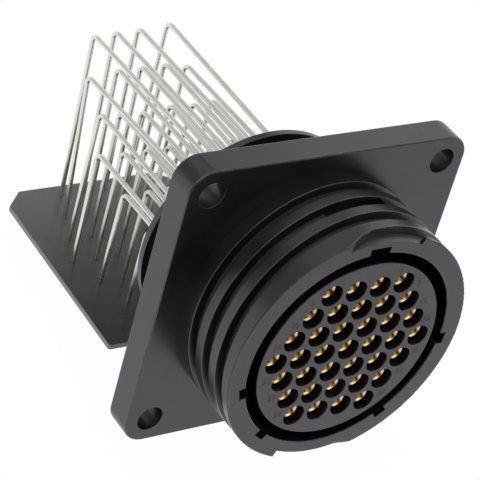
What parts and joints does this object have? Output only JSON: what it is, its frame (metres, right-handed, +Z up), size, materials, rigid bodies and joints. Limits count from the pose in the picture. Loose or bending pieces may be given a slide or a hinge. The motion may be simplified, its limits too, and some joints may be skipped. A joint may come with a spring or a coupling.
{
  "type": "circular connector receptacle",
  "caption": "Round plastic panel connector receptacle with a square flange, a coarse threaded and keyed barrel, gold sockets, and posts bent down through an aligner plate for a circuit board.",
  "frame": {"origin": "centre of the flange's front face, on the connector's axis", "axes": "-Y out of the mating end, +Y back along the posts, +Z up, away from the circuit board"},
  "size_m": [0.044, 0.0653, 0.0467],
  "materials": {
    "moulding": "satin dark moulded thermoplastic with a fine surface texture",
    "plate": "matt punched sheet",
    "contact": "gold-plated socket sleeve, bright tin-plated post",
    "clip": "bright spring sheet"
  },
  "bodies": {
    "root": {"housing": "moulding", "contact_block": "moulding", "aligner_plate": "plate", "retention_clips": "clip", "contact_01": "contact", "contact_02": "contact", "contact_03": "contact", "contact_04": "contact", "contact_05": "contact", "contact_06": "contact", "contact_07": "contact", "contact_08": "contact", "contact_09": "contact", "contact_10": "contact", "contact_11": "contact", "contact_12": "contact", "contact_13": "contact", "contact_14": "contact", "contact_15": "contact", "contact_16": "contact", "contact_17": "contact", "contact_18": "contact", "contact_19": "contact", "contact_20": "contact", "contact_21": "contact", "contact_22": "contact", "contact_23": "contact", "contact_24": "contact", "contact_25": "contact", "contact_26": "contact", "contact_27": "contact", "contact_28": "contact", "contact_29": "contact", "contact_30": "contact", "contact_31": "contact", "contact_32": "contact", "contact_33": "contact", "contact_34": "contact", "contact_35": "contact", "contact_36": "contact", "contact_37": "contact"}
  },
  "joints": []
}
